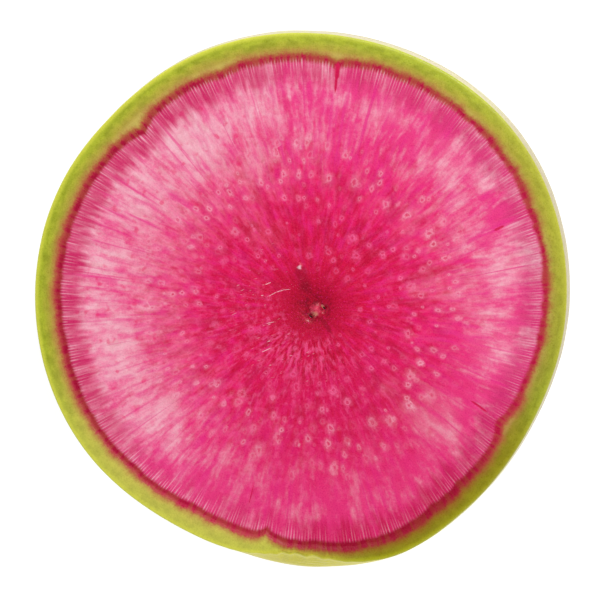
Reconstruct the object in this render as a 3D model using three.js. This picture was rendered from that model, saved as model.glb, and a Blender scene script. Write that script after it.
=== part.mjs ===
// One round slice of a watermelon radish, lying on its lower cut face.
// Millimetres, +Z up. The origin is the middle of the lower face, +X and +Y span the cut.

import * as THREE from 'three';

// Slice: mean radius of the upper cut edge, and thickness between the two cut faces
const MEAN_RADIUS = 37.6;
const THICKNESS = 8;

// Skin: how far it bows out at half height, and the softened corner at each cut edge
const SKIN_BOW = 0.3;
const EDGE_SOFTENING = 0.25;

// Outline: swells (rise above zero) and flats (below zero), angles in degrees from +X
const OUTLINE_WAVES = [
  { at: 38, rise: 1.0, spread: 30 },
  { at: 135, rise: -0.5, spread: 16 },
  { at: 242, rise: -0.9, spread: 21 },
  { at: 290, rise: 1.1, spread: 15 },
  { at: 334, rise: -0.5, spread: 17 },
];

// Crimson ring under the rind: usual depth from the skin, and a shallow groove along it
const RING_DEPTH = 3.3;
const GROOVE_DEPTH = 0.3;
const GROOVE_HALF_WIDTH = 0.6;

// Notches where the ring bends towards the middle: extra depth, angles in degrees from +X
const RING_NOTCHES = [
  { at: 81, deeper: 0.9, spread: 3 },
  { at: 109, deeper: 0.5, spread: 4 },
  { at: 133, deeper: 1.1, spread: 4 },
  { at: 243, deeper: 0.4, spread: 4 },
  { at: 262, deeper: 1.2, spread: 3 },
  { at: 311, deeper: 0.3, spread: 4 },
  { at: 329, deeper: 0.9, spread: 4 },
  { at: 342, deeper: 0.4, spread: 4 },
];

// Rind: its crown above the cut plane
const RIND_CROWN = 0.1;

// Flesh: it dries into a faint dish, ribbed by the rays that run out from the pith
const DISH_DEPTH = 0.25;
const RAY_COUNT = 36;
const RAY_HEIGHT = 0.12;

// Pith: where the rays meet, with a nub standing in a small pit
const PITH_X = 2.0;
const PITH_Y = -0.9;
const PIT_RADIUS = 2.2;
const PIT_DEPTH = 0.6;
const NUB_RADIUS = 0.9;
const NUB_HEIGHT = 0.5;

// Facets: steps round the slice, and rows across the flesh and up the skin
const AROUND = 144;
const FLESH_ROWS = [0.97, 0.9, 0.78, 0.62, 0.45, 0.3, 0.18];
const SKIN_ROWS = [0.2, 0.5, 0.8];

const FULL_TURN = 2 * Math.PI;

function turnBetween(angle, degrees) {
  const turn = THREE.MathUtils.radToDeg(angle) - degrees;
  return THREE.MathUtils.euclideanModulo(turn + 180, 360) - 180;
}

function outlineRadius(angle) {
  let radius = MEAN_RADIUS;
  for (const wave of OUTLINE_WAVES) {
    radius += wave.rise * Math.exp(-((turnBetween(angle, wave.at) / wave.spread) ** 2));
  }
  return radius;
}

function ringDepth(angle) {
  let depth = RING_DEPTH;
  for (const notch of RING_NOTCHES) {
    depth += notch.deeper * Math.exp(-Math.abs(turnBetween(angle, notch.at)) / notch.spread);
  }
  return depth;
}

function onRadius(radius, angle) {
  return new THREE.Vector2(radius * Math.cos(angle), radius * Math.sin(angle));
}

// A point of the skin, its height given as a fraction of the thickness
function skinPoint(fraction, angle) {
  const fromMiddle = 2 * fraction - 1;
  const radius = outlineRadius(angle) + SKIN_BOW * (1 - fromMiddle ** 2);
  const plan = onRadius(radius, angle);
  return new THREE.Vector3(plan.x, plan.y, fraction * THICKNESS);
}

// A point of a cut edge's softened corner, drawn in from the skin
function cutEdgePoint(height, angle) {
  const plan = onRadius(outlineRadius(angle) - EDGE_SOFTENING, angle);
  return new THREE.Vector3(plan.x, plan.y, height);
}

// A point of the rind on the upper face, between the skin and the ring
function rindPoint(depth, rise, angle) {
  const plan = onRadius(outlineRadius(angle) - depth, angle);
  return new THREE.Vector3(plan.x, plan.y, THICKNESS + rise);
}

// Height of the flesh above the cut plane at a distance from the pith
function fleshRise(fraction, distance, angle) {
  const dish = -DISH_DEPTH * (1 - fraction ** 2);
  const ray = RAY_HEIGHT * fraction * (1 - fraction) * Math.cos(RAY_COUNT * angle);
  const pit = -PIT_DEPTH * Math.exp(-((distance / PIT_RADIUS) ** 2));
  const nub = NUB_HEIGHT * Math.exp(-((distance / NUB_RADIUS) ** 2));
  return dish + ray + pit + nub;
}

// A point of the flesh, on the line from the pith (fraction 0) to the ring (fraction 1)
function fleshPoint(fraction, angle) {
  const pith = new THREE.Vector2(PITH_X, PITH_Y);
  const ring = onRadius(outlineRadius(angle) - ringDepth(angle) - GROOVE_HALF_WIDTH, angle);
  const plan = pith.clone().lerp(ring, fraction);
  const rise = fleshRise(fraction, plan.distanceTo(pith), angle);
  return new THREE.Vector3(plan.x, plan.y, THICKNESS + rise);
}

// Rows of the surface in order: lower face, skin, rind, ring groove, flesh, pith
function surfaceRows() {
  const rows = [];
  rows.push(() => new THREE.Vector3(0, 0, 0));
  rows.push((angle) => cutEdgePoint(0, angle));
  rows.push((angle) => skinPoint(EDGE_SOFTENING / THICKNESS, angle));
  for (const fraction of SKIN_ROWS) {
    rows.push((angle) => skinPoint(fraction, angle));
  }
  rows.push((angle) => skinPoint(1 - EDGE_SOFTENING / THICKNESS, angle));
  rows.push((angle) => cutEdgePoint(THICKNESS, angle));
  rows.push((angle) => rindPoint(ringDepth(angle) / 2, RIND_CROWN, angle));
  rows.push((angle) => rindPoint(ringDepth(angle) - GROOVE_HALF_WIDTH, 0, angle));
  rows.push((angle) => rindPoint(ringDepth(angle), -GROOVE_DEPTH, angle));
  for (const fraction of [1, ...FLESH_ROWS]) {
    rows.push((angle) => fleshPoint(fraction, angle));
  }
  for (const radius of [PIT_RADIUS, NUB_RADIUS]) {
    rows.push((angle) => fleshPoint(radius / MEAN_RADIUS, angle));
  }
  rows.push(() => fleshPoint(0, 0));
  return rows;
}

// A lathe gives the closed net of faces, and each of its points then moves to its row's place
function sliceGeometry() {
  const rows = surfaceRows();
  const last = rows.length - 1;
  const profile = rows.map((row, i) => new THREE.Vector2(i === 0 || i === last ? 0 : 1, i));
  const geometry = new THREE.LatheGeometry(profile, AROUND);
  const position = geometry.attributes.position;
  for (let step = 0; step <= AROUND; step += 1) {
    const angle = FULL_TURN * ((step % AROUND) / AROUND);
    rows.forEach((row, i) => {
      const point = row(angle);
      position.setXYZ(step * rows.length + i, point.x, point.y, point.z);
    });
  }
  geometry.computeVertexNormals();
  return geometry;
}

const radishFlesh = new THREE.MeshStandardMaterial({ color: 0xdc3f6e, roughness: 0.45, metalness: 0 });

const slice = new THREE.Mesh(sliceGeometry(), radishFlesh);
slice.name = 'radish_slice';

const radish = new THREE.Group();
radish.name = 'radish';
radish.add(slice);

export default radish;
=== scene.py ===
import math
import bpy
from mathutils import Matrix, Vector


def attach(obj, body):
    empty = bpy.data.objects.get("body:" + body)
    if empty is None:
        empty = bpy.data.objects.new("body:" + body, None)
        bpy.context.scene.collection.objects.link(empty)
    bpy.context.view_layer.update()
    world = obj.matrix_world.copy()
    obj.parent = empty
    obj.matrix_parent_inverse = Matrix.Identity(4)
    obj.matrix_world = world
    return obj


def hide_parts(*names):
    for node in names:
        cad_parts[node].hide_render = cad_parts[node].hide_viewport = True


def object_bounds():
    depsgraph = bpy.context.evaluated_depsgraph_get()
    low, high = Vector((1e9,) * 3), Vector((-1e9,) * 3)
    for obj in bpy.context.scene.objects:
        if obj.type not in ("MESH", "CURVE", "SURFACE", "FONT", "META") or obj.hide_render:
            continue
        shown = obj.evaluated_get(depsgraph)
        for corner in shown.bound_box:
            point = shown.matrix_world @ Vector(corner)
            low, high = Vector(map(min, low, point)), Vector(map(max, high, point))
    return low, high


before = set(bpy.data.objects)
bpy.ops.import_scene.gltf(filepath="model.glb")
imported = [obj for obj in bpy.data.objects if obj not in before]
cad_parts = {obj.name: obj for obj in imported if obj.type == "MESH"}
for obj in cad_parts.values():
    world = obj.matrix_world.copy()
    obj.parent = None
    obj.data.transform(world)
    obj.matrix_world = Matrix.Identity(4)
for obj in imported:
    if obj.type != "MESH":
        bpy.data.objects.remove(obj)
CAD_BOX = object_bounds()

from types import SimpleNamespace

import bpy
import numpy as np
from bpy.props import FloatProperty, FloatVectorProperty, PointerProperty
from mathutils import Matrix, Vector, noise

bl_info = {
    "name": "Watermelon Radish Slice",
    "version": (1, 0, 0),
    "blender": (4, 5, 0),
    "location": "View3D > Sidebar > Radish",
    "description": "Dresses the radish slice with its rind, ring, rays, vessels and skin",
    "category": "Add Mesh",
}

NODE = "radish_slice"
BODY = "root"

# Lengths below are millimetres on the slice, and MM turns them into Blender's metres
MM = 0.001

# Thickness between the two cut planes: the solid's height without the crown of its rind
SOLID_CROWN = 0.1
THICKNESS = CAD_BOX[1].z / MM - SOLID_CROWN

# Width of the picture on the cut plane: pixels, and the length that each one shows
PICTURE_PIXELS = 612
PIXEL_LENGTH = 0.1412

# Pith, where the rays meet, and the small things round it
PITH = (2.0, -0.9)
NUB = (2.3, -1.4)
SPECK = (0.1, 4.65)
SMEAR = (0.85, 1.9)

# Relief round the pith: place, height (below zero for a pit), radius
PITH_RELIEF = (
    (PITH, -0.35, 2.2),
    (NUB, 0.55, 0.75),
    (SPECK, 0.3, 0.35),
    ((1.65, -2.35), -0.5, 0.45),
    ((3.5, -1.15), -0.5, 0.45),
)

# Dark smears round the pith: start, end, half width, strength
PITH_SMEARS = (((-0.1, 5.2), (1.3, 0.6), 1.3, 0.35), ((3.0, -2.4), (4.7, -4.8), 0.45, 0.5))

# Dry caps on the nub (place, radius), and painted shade as dark slots in the pits beside it (start, end,
# half width)
PITH_CAPS = (((2.25, -1.95), 0.6), ((3.3, -0.9), 0.3))
PITH_PIT_SHADES = (((1.35, -2.15), (1.95, -2.6), 0.15), ((3.35, -1.0), (3.75, -1.35), 0.14))

# Pale patches of the flesh: degrees round the pith, distance from it, half length, half width, how pale
PALE_PATCHES = (
    (127, 27.5, 4.8, 4.4, 0.15),
    (150, 29.0, 4.0, 3.0, 0.1),
    (112, 22.0, 3.5, 2.2, 0.06),
    (107, 29.0, 3.0, 3.4, 0.07),
    (124, 14.0, 4.0, 2.5, 0.05),
    (193, 29.0, 4.0, 4.0, 0.07),
    (213, 28.0, 4.5, 3.5, 0.08),
    (13, 29.0, 4.5, 5.0, 0.08),
    (349, 27.0, 4.5, 4.0, 0.06),
    (2, 22.0, 4.0, 2.0, 0.06),
    (10, 16.0, 2.5, 1.5, 0.09),
    (46, 28.0, 3.0, 4.0, 0.06),
    (70, 30.0, 2.5, 2.5, 0.08),
    (313, 17.0, 3.0, 2.0, 0.1),
    (318, 23.5, 4.0, 3.2, 0.16),
)

# Sides where the flesh is paler (above zero) or deeper in colour: degrees, how wide, change
FLESH_SIDES = ((160, -0.3, 0.06), (75, 0.8, -0.04), (275, 0.2, -0.06), (340, 0.85, -0.05))

# Where the skin leans out below the cut: degrees from +X, how far the cut edge draws in, spread in degrees
SKIN_LEAN = ((270, 1.5, 10.0), (285, 0.1, 6.0))

# Share of that lean by which the skin bulges out lower down, and how finely and far its upper edge is torn
LEAN_BULGE = 0.3
TORN_WAVES = 45
TORN_SHARE = 0.22

# The crimson ring bends in at these notches: degrees from +X, extra depth, spread in degrees
RING_NOTCHES = (
    (22, 0.08, 3.0),
    (81, 0.9, 2.5),
    (109, 0.5, 4.0),
    (133, 1.0, 3.5),
    (190, 0.25, 2.5),
    (223, 0.2, 3.0),
    (243, 0.4, 3.0),
    (262, 1.2, 1.9),
    (274, 0.3, 2.0),
    (303, 0.35, 2.0),
    (311, 0.25, 2.5),
    (329, 1.0, 3.5),
    (341, 0.25, 2.5),
)

# Where the ring runs deeper (above zero) or closer to the skin: degrees from +X, change, spread in degrees
RING_DRIFT = (
    (5, -0.38, 22),
    (48, 0.1, 14),
    (114, 0.2, 24),
    (134, 0.12, 16),
    (175, -0.1, 20),
    (196, 0.06, 10),
    (230, -0.1, 25),
    (285, -0.46, 30),
    (321, -0.32, 15.5),
    (347, -0.14, 9),
)

# Small waves of the ring: how fine, how high
RING_WAVES = ((9.0, 0.16), (28.0, 0.15), (70.0, 0.08))

# Ribs along the rays: how fine round the pith, how fine along the ray, share of their height
RIB_WAVES = ((30, 0.15, 1.0), (70, 0.2, 0.6))

# Width of the rind's crown, outwards from the ring
CROWN_WIDTH = 3

# Sets of vessels in the flesh: spacing, share of the places that hold one
VESSEL_SETS = ((1.75, 0.66), (2.7, 0.78))

# Hairlines round the ring, and sides where they change: degrees, where it starts, where it is full, change
HAIRLINES = 500.0
HAIRLINE_SIDES = ((242, 0.82, 0.98, 0.08), (305, 0.6, 0.95, -0.35), (52, 0.88, 0.99, -0.25))

# Grooves of the short radial splits: degrees from +X, nearest and furthest from the middle, half width
SPLITS = (
    (80.5, 29.8, 33.4, 0.2),
    (20.5, 29.9, 31.1, 0.1),
    (330.0, 28.2, 30.2, 0.1),
    (256.2, 26.8, 30.2, 0.1),
)

# Softness of the sides of those grooves
SPLIT_SLOPE = 0.1

# Red insides of the same splits: start, end, half width
SPLIT_LINES = (
    ((5.52, 33.7), (5.36, 31.0), 0.5),
    ((5.5, 33.4), (5.1, 29.0), 0.24),
    ((27.5, 10.0), (29.1, 10.75), 0.24),
    ((24.2, -13.9), (26.9, -15.75), 0.2),
    ((-6.4, -26.2), (-7.2, -29.4), 0.09),
)

# Pale fibres and a hot line at the ends of splits: degrees round the pith, distance, half length and width
SPLIT_FIBRES = (22.4, 30.6, 1.6, 0.45)
SPLIT_RUN = (84.6, 27.5, 3.0, 0.3)

# Pale lines: scratches left by the knife, partly painted glints along them: start, end, half width
SCRATCH_AND_GLINT_LINES = (
    ((-4.4, 0.45), (-3.1, 1.15), 0.055),
    ((-3.3, 1.05), (-2.1, 1.45), 0.065),
    ((-2.4, 1.4), (-1.2, 1.5), 0.05),
    ((-4.9, 2.1), (-3.9, 2.5), 0.07),
    ((-5.4, -7.5), (-3.9, -6.8), 0.07),
    ((-4.7, -3.4), (-3.4, -3.1), 0.06),
)

# Size of the cells that show on the cut and on the skin
CUT_CELL = 0.22
SKIN_CELL = 0.4

# Direction that the knife ran in
KNIFE_RUN = Vector((0.94, 0.34, 0.0))

# Steps round the slice at the skin, halved towards the pith
AROUND = 720
HALVING_FRACTIONS = (0.5, 0.25, 0.11)

# Spacing of the rows of points on each cut face: over the flesh, round the pith
UPPER_SPACING = (0.4, 0.16)
LOWER_SPACING = (1.2, 0.6)

# Usual distance from pith to ring, and the fractions of it between which the closer rows lie
FLESH_LENGTH = 34.0
PITH_FRACTIONS = (0.11, 0.006)

# Rows across the rind of each cut face, as shares of the way from the cut edge to the ring
UPPER_RIND_ROWS = np.arange(0.14, 1.0, 0.085)
LOWER_RIND_ROWS = (0.85, 0.7, 0.55, 0.4, 0.25)

# Rows up the skin, and the turns in degrees that round off each cut edge
SKIN_ROWS = 15
CORNER_TURNS = (0, 30, 60)

# Parts of the surface, one finish each, and how far from pith to ring the first two reach
PARTS = ("heart", "flesh", "rim", "skin")
HEART_REACH = 0.44
FLESH_REACH = 0.83

# Pale patches that come closer to the pith than this also show in the heart
HEART_RADIUS = 15.0

# Map for baking: what its faces reach to, then the centre and half width of each face on the map
MAP_REACH = 39.0
UPPER_MAP = ((0.335, 0.335), 0.325)
LOWER_MAP = ((0.835, 0.165), 0.155)

# Two strips of skin on that map: margin at their ends, first strip's foot, step to the second, width
MAP_MARGIN = 0.01
STRIP_FOOT = 0.70
STRIP_STEP = 0.12
STRIP_WIDTH = 0.09


def srgb(red, green, blue):
    """A colour given as 0 to 255 on screen, as the linear values that Blender's sockets take."""
    linear = []
    for value in (red, green, blue):
        share = value / 255
        linear.append(share / 12.92 if share <= 0.04045 else ((share + 0.055) / 1.055) ** 2.4)
    return tuple(linear)


def colour_property(name, description, red, green, blue):
    return FloatVectorProperty(
        name=name,
        description=description,
        subtype="COLOR",
        size=3,
        min=0.0,
        max=1.0,
        default=srgb(red, green, blue),
    )


def length_property(name, description, millimetres):
    return FloatProperty(
        name=name,
        description=description,
        unit="LENGTH",
        precision=5,
        default=millimetres * MM,
    )


def angle_property(name, description, degrees):
    return FloatProperty(name=name, description=description, subtype="ANGLE", default=math.radians(degrees))


class RadishShape(bpy.types.PropertyGroup):
    """Sizes of the slice's low relief"""

    ring_depth: length_property("Ring depth", "Usual depth of the crimson ring under the skin", 3.3)
    groove_depth: length_property("Groove depth", "How far the crimson ring sinks", 0.1)
    groove_width: length_property("Groove width", "Half width of the groove along the ring", 0.45)
    rind_crown: length_property("Rind crown", "How far the rind stands above the cut", 0.08)
    dish_depth: length_property("Dish depth", "How far the flesh dries in towards the pith", 0.25)
    ray_height: length_property("Ray height", "Height of the ribs along the rays", 0.05)
    split_depth: length_property("Split depth", "Depth of the short splits in the flesh", 0.15)
    skin_bow: length_property("Skin bow", "How far the skin bows out at half height", 0.25)
    edge_softening: length_property("Edge softening", "Radius of the cut edges", 0.25)
    skin_wave: length_property("Skin wave", "Unevenness of the skin", 0.06)


class RadishLook(bpy.types.PropertyGroup):
    """Colours of the slice"""

    # Bright edge of the rind, partly a painted highlight on the rounded cut edge
    rind_edge_and_highlight: colour_property("Rind edge", "Bright line along the skin", 222, 222, 78)
    rind_line: colour_property("Rind line", "Line along the skin on the lower right side", 184, 186, 14)
    rind_green: colour_property("Rind green", "Outer rind", 172, 181, 48)
    rind_shade: colour_property("Rind shade", "Darker patches of the rind", 138, 146, 30)
    # Painted shade: olive that darkens the rind on its lower right side
    rind_painted_shade: colour_property("Rind olive", "Rind of the lower right side", 138, 122, 10)
    rind_tan: colour_property("Rind tan", "Inner rind", 178, 156, 64)
    # Painted light: lighter rind on its lower left side
    rind_painted_light: colour_property("Rind light", "Rind of the lighter side", 216, 206, 98)
    rind_pale: colour_property("Rind pale", "Pale rind beside the notches of the ring", 206, 184, 100)
    ring_red: colour_property("Ring red", "Fading outer side of the ring", 172, 86, 58)
    ring_rust: colour_property("Ring rust", "Fading outer side of the ring on the lower side", 146, 66, 30)
    ring_brown: colour_property("Ring brown", "Dark specks beside the ring", 96, 72, 24)
    ring_soft: colour_property("Ring soft", "Core of the ring where it is faint", 187, 14, 66)
    ring_crimson: colour_property("Ring crimson", "Core of the ring where it is dark", 142, 0, 36)
    fringe: colour_property("Fringe", "Flesh just inside the ring", 204, 44, 100)
    fringe_below: colour_property("Lower fringe", "Flesh just inside the ring on the lower side", 190, 8, 70)
    # Pale line colour, also used for the painted glints and the pale scratches
    hairline_and_glint: colour_property("Hairlines", "Fine pale lines inside the ring", 248, 204, 216)
    flesh_heart: colour_property("Heart", "Flesh at the pith", 168, 3, 38)
    flesh_inner: colour_property("Inner flesh", "Flesh of the inner third", 208, 8, 66)
    flesh_middle: colour_property("Middle flesh", "Flesh half way out", 229, 20, 101)
    flesh_outer: colour_property("Outer flesh", "Flesh of the outer third", 232, 60, 130)
    flesh_pale: colour_property("Pale flesh", "Pale streaks and patches", 242, 190, 202)
    flesh_hot: colour_property("Hot streaks", "Thin magenta streaks", 228, 44, 132)
    flesh_magenta: colour_property("Magenta mottles", "Mottles of the inner flesh", 226, 30, 118)
    flesh_crimson: colour_property("Crimson mottles", "Darker mottles of the inner flesh", 200, 4, 54)
    flesh_below: colour_property("Lower flesh", "Deeper flesh of the lower side", 206, 20, 84)
    flesh_fleck: colour_property("Flecks", "Light flecks and vessel rims of the inner flesh", 240, 94, 148)
    split_red: colour_property("Splits", "Inside of the short splits", 206, 18, 78)
    pith_pink: colour_property("Pith", "Nub of the pith", 216, 56, 92)
    pith_beige: colour_property("Pith caps", "Dry caps on the nub", 208, 152, 118)
    pith_dark: colour_property("Pith shade", "Dark tissue round the pith", 132, 3, 32)
    # Painted shade: near black inside the pits beside the nub
    pith_pit_shade: colour_property("Pith slots", "Inside of the slots beside the nub", 40, 6, 10)
    skin_cream: colour_property("Skin", "Pale skin", 208, 196, 160)
    # Line colour of the skin, also used for painted shade on its right side
    skin_line_and_shade: colour_property("Skin lines", "Fine lines along the skin", 178, 164, 122)
    skin_green: colour_property("Skin green", "Skin beside the cut", 206, 210, 86)
    skin_yellow: colour_property("Skin yellow", "Skin where it leans out below the cut", 213, 203, 44)
    skin_pale: colour_property("Skin dashes", "Pale dashes on the leaning skin", 240, 232, 140)


class RadishStage(bpy.types.PropertyGroup):
    """Floor, light and camera"""

    camera_tilt: angle_property("Camera tilt", "Angle of the view from straight down", 7.5)
    camera_side: angle_property("Camera side", "Side that the camera stands on, from +X", 40)
    camera_distance: length_property("Camera distance", "Distance from the cut face to the camera", 750)
    picture_width: length_property(
        "Picture width",
        "Width of the cut plane that the picture shows",
        PICTURE_PIXELS * PIXEL_LENGTH,
    )
    floor_colour: colour_property("Floor", "Plain pale floor", 150, 150, 150)
    key_power: FloatProperty(name="Key power", description="Power of the main soft light", default=5.3)
    fill_power: FloatProperty(name="Fill power", description="Power of the second soft light", default=1.4)


def turn_from(angle, degrees):
    """Degrees from one direction to each angle, from -180 to 180."""
    return (np.degrees(angle) - degrees + 180) % 360 - 180


def swell_at(angle, degrees, spread):
    """A smooth swell about one direction, from 0 to 1."""
    return np.exp(-((turn_from(angle, degrees) / spread) ** 2))


def round_noise(turn, waves, level):
    """Noise along a circle, from -1 to 1."""
    return noise.noise(Vector((waves * math.cos(turn), waves * math.sin(turn), level)))


def direction(degrees):
    """The level direction that lies the given degrees from +X."""
    angle = math.radians(degrees)
    return Vector((math.cos(angle), math.sin(angle), 0.0))


class SlicePlan:
    """The slice seen from above: outline from the frame, ring and pith, in millimetres."""

    # Facets round the solid, waves kept of its outline, samples round the slice
    FACETS = 144
    KEPT_WAVES = 40
    SAMPLES = 1440

    def __init__(self, shape):
        self.shape = shape
        self.outline_samples = self.outline_from_frame()
        self.ring_samples = self.ring_from_notches()

    def outline_from_frame(self):
        """Radius of the upper cut edge of the CAD solid, evened out between its facets."""
        points = np.array([v.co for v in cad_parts[NODE].data.vertices]) / MM
        upper = points[points[:, 2] > 0.9 * THICKNESS]
        angle = np.arctan2(upper[:, 1], upper[:, 0]) % (2 * math.pi)
        radius = np.hypot(upper[:, 0], upper[:, 1])
        facet = 360 / self.FACETS
        steps = np.round(np.degrees(angle) / facet).astype(int) % self.FACETS
        edge = np.array([radius[steps == step].max() for step in range(self.FACETS)])
        around = np.arange(self.SAMPLES) * 360 / self.SAMPLES
        fine = np.interp(around, np.arange(self.FACETS + 1) * facet, np.append(edge, edge[0]))
        waves = np.fft.rfft(fine)
        waves[self.KEPT_WAVES:] = 0
        return np.fft.irfft(waves, self.SAMPLES)

    def ring_from_notches(self):
        """Depth of the ring below the skin, with its drift, notches and small waves."""
        angle = np.arange(self.SAMPLES) * 2 * math.pi / self.SAMPLES
        depth = np.full(self.SAMPLES, self.shape.ring_depth / MM)
        for at, deeper, spread in RING_DRIFT:
            depth += deeper * swell_at(angle, at, spread)
        for at, deeper, spread in RING_NOTCHES:
            depth += deeper * np.exp(-np.abs(turn_from(angle, at)) / spread)
        for waves, height in RING_WAVES:
            for i, turn in enumerate(angle):
                depth[i] += height * round_noise(turn, waves, waves)
        return depth

    def read(self, samples, angle):
        place = (np.degrees(angle) % 360) * self.SAMPLES / 360
        return np.interp(place, np.arange(self.SAMPLES), samples, period=self.SAMPLES)

    def outline(self, angle):
        return self.read(self.outline_samples, angle)

    def ring_depth(self, angle):
        return self.read(self.ring_samples, angle)

    def lean(self, angle):
        """How far the upper cut edge is drawn in from the outline."""
        inset = np.zeros_like(angle)
        for at, amount, spread in SKIN_LEAN:
            inset += amount * swell_at(angle, at, spread)
        return inset

    def torn_lean(self, angle):
        """The same with the torn edge of the skin."""
        torn = [round_noise(turn, TORN_WAVES, 0.5) for turn in angle]
        return self.lean(angle) * (1 + TORN_SHARE * np.array(torn))

    def skin_lean(self, angle, from_middle):
        """How far the skin is drawn in at a height, from the lower cut edge (-1) to the upper one (1)."""
        rise = min(max(from_middle, 0.0), 1.0)
        leaned = rise * rise * (3 - 2 * rise)
        torn = leaned**3
        bulge = LEAN_BULGE * (1 - leaned)
        return self.torn_lean(angle) * torn + self.lean(angle) * (leaned - torn - bulge)

    def rind_row(self, share, angle, leaning):
        """Points at a share of the way from the cut edge (0) to the ring (1)."""
        inset = self.torn_lean(angle) * leaning
        deep = self.ring_depth(angle) - inset
        rim = share * deep
        radius = self.outline(angle) - inset - rim
        return SimpleNamespace(
            x=radius * np.cos(angle),
            y=radius * np.sin(angle),
            rim=rim,
            ring=deep - rim,
            fraction=np.ones_like(angle),
        )

    def flesh_row(self, fraction, angle):
        """Points at a fraction of the way from the pith (0) to the ring (1)."""
        deep = self.ring_depth(angle)
        radius = self.outline(angle) - deep
        ring_x = radius * np.cos(angle)
        ring_y = radius * np.sin(angle)
        reach = np.hypot(ring_x - PITH[0], ring_y - PITH[1])
        return SimpleNamespace(
            x=PITH[0] + fraction * (ring_x - PITH[0]),
            y=PITH[1] + fraction * (ring_y - PITH[1]),
            rim=deep + (1 - fraction) * reach,
            ring=(fraction - 1) * reach,
            fraction=np.full_like(angle, fraction),
        )


def ray_noise(x, y, around, along):
    """Noise drawn out along the rays from the pith, from -1 to 1, with its scale round and along them."""
    values = np.empty(len(x))
    for i, (dx, dy) in enumerate(zip(x - PITH[0], y - PITH[1])):
        reach = math.hypot(dx, dy) + 1e-6
        values[i] = noise.noise(Vector((around * dx / reach, around * dy / reach, along * reach)))
    return values


def bump_at(x, y, place, radius):
    return np.exp(-((x - place[0]) ** 2 + (y - place[1]) ** 2) / radius**2)


def split_mask(x, y):
    """How deep each point lies in the short radial splits, from 0 to 1."""
    mask = np.zeros(len(x))
    for degrees, near, far, half_width in SPLITS:
        angle = math.radians(degrees)
        along = x * math.cos(angle) + y * math.sin(angle)
        across = -x * math.sin(angle) + y * math.cos(angle)
        middle = (near + far) / 2
        ends = np.clip(1 - np.abs(along - middle) / (far - middle), 0, 1)
        mask = np.maximum(mask, np.sqrt(ends) * np.exp(-((across / (half_width + SPLIT_SLOPE)) ** 2)))
    return mask


def cut_relief(row, shape):
    """Height of the cut face above its plane."""
    groove = -shape.groove_depth / MM * np.exp(-((row.ring / (shape.groove_width / MM)) ** 2))
    rind = np.clip(row.ring / CROWN_WIDTH, 0, 1)
    crown = shape.rind_crown / MM * np.sin(math.pi * rind)
    inside = row.fraction * (row.ring < 0)
    dish = -shape.dish_depth / MM * (1 - row.fraction**2)
    ribs = np.zeros(len(row.x))
    for around, along, share in RIB_WAVES:
        ribs += share * ray_noise(row.x, row.y, around, along)
    ribs *= shape.ray_height / MM * inside
    splits = -shape.split_depth / MM * split_mask(row.x, row.y)
    pith = np.zeros(len(row.x))
    for place, height, radius in PITH_RELIEF:
        pith += height * bump_at(row.x, row.y, place, radius)
    return groove + crown + dish + ribs + splits + pith


class MeshRows:
    """Rows of points that run round the slice, joined into one closed surface."""

    def __init__(self):
        self.points = []
        self.rim = []
        self.ring = []
        self.fraction = []
        self.starts = []
        self.counts = []
        self.parts = []

    def add(self, row, height, part):
        self.starts.append(len(self.points))
        self.counts.append(len(row.x))
        self.parts.append(part)
        self.points.extend(zip(row.x * MM, row.y * MM, np.broadcast_to(height, row.x.shape) * MM))
        self.rim.extend(row.rim)
        self.ring.extend(row.ring)
        self.fraction.extend(row.fraction)

    def faces(self):
        """Faces between neighbouring rows, and the part that each belongs to."""
        faces = []
        parts = []
        for i in range(len(self.starts) - 1):
            low, high = self.starts[i], self.starts[i + 1]
            made = self.strip(low, self.counts[i], high, self.counts[i + 1])
            faces.extend(made)
            parts.extend([self.parts[i + 1]] * len(made))
        return faces, parts

    @staticmethod
    def strip(low, low_count, high, high_count):
        """Faces between two rows, where one row may be a point or have half the other's points."""
        count = max(low_count, high_count)
        low_step = count // low_count
        high_step = count // high_count
        made = []
        for i in range(count):
            j = (i + 1) % count
            corners = [
                low + i // low_step,
                low + (j // low_step if low_step < count else 0),
                high + (j // high_step if high_step < count else 0),
                high + i // high_step,
            ]
            if low_step == 2 and i % 2 == 0:
                corners[1] = corners[0]
            if high_step == 2 and i % 2 == 0:
                corners[2] = corners[3]
            unique = list(dict.fromkeys(corners))
            made.append(tuple(unique))
        return made


def angles_of(count):
    return np.arange(count) * 2 * math.pi / count


def count_at(fraction):
    count = AROUND
    for limit in HALVING_FRACTIONS:
        if fraction < limit:
            count //= 2
    return count


def part_at(fraction):
    if fraction < HEART_REACH:
        return "heart"
    return "flesh" if fraction < FLESH_REACH else "rim"


def flesh_fractions(step, pith_step):
    """Fractions from the ring to the pith, closer together round the pith."""
    near, end = PITH_FRACTIONS
    fractions = list(np.arange(1, near, -step / FLESH_LENGTH))
    fractions += list(np.arange(near, end, -pith_step / FLESH_LENGTH))
    return fractions


def build_rows(plan, shape):
    """The whole surface in rows: lower face from its middle, skin upwards, upper face to the pith."""
    rows = MeshRows()
    angle = angles_of(AROUND)
    centre = plan.flesh_row(0.0, np.zeros(1))

    def add_upper(row, part):
        rows.add(row, THICKNESS + cut_relief(row, shape), part)

    rows.add(centre, 0.0, "heart")
    for fraction in reversed(flesh_fractions(*LOWER_SPACING)):
        rows.add(plan.flesh_row(fraction, angles_of(count_at(fraction))), 0.0, part_at(fraction))
    for share in LOWER_RIND_ROWS:
        rows.add(plan.rind_row(share, angle, 0.0), 0.0, "rim")
    add_skin_rows(rows, plan, shape)
    for share in UPPER_RIND_ROWS:
        add_upper(plan.rind_row(share, angle, 1.0), "rim")
    for fraction in flesh_fractions(*UPPER_SPACING):
        add_upper(plan.flesh_row(fraction, angles_of(count_at(fraction))), part_at(fraction))
    add_upper(centre, "heart")
    return rows


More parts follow.
